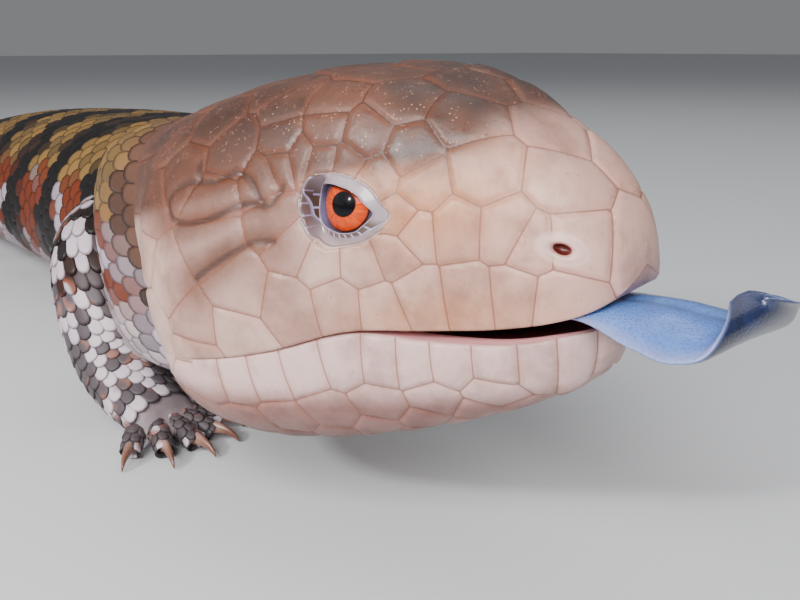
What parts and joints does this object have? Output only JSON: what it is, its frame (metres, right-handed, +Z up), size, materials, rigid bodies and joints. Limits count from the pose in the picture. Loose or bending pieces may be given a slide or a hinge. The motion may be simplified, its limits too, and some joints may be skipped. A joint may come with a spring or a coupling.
{
  "type": "blue tongued skink model",
  "caption": "Life-size still model of a blue tongued skink lying on its belly, head raised and turned, blue tongue out, with scaly legs, clawed toes and tapering tail",
  "frame": {"origin": "on the floor, under the middle of the belly", "axes": "+X runs forward along the trunk to the snout, +Y to the animal's left, +Z up from the floor"},
  "size_m": [0.483, 0.1299, 0.0529],
  "materials": {
    "scaly_skin": "overlapping satin scales, black and golden brown bands, rust flanks",
    "head_skin": "smooth satin shields, dusty brown above, pale pink sides",
    "throat_skin": "smooth satin pale pink shields",
    "tongue_blue": "moist blue flesh with fine dots",
    "eye_orange": "wet glossy eye, orange iris",
    "leg_skin": "small satin scales, pale lilac speckled black"
  },
  "bodies": {
    "root": {"head": "head_skin", "jaw": "throat_skin", "tongue": "tongue_blue", "eye_left": "eye_orange", "eye_right": "eye_orange", "neck": "scaly_skin", "torso_front": "scaly_skin", "torso_middle": "scaly_skin", "torso_rear": "scaly_skin", "tail_base": "scaly_skin", "tail_middle": "scaly_skin", "tail_tip": "scaly_skin", "foreleg_upper_left": "leg_skin", "foreleg_upper_right": "leg_skin", "foreleg_lower_left": "leg_skin", "foreleg_lower_right": "leg_skin", "foreleg_foot_left": "leg_skin", "foreleg_foot_right": "leg_skin", "hindleg_upper_left": "leg_skin", "hindleg_upper_right": "leg_skin", "hindleg_lower_left": "leg_skin", "hindleg_lower_right": "leg_skin", "hindleg_foot_left": "leg_skin", "hindleg_foot_right": "leg_skin"}
  },
  "joints": []
}
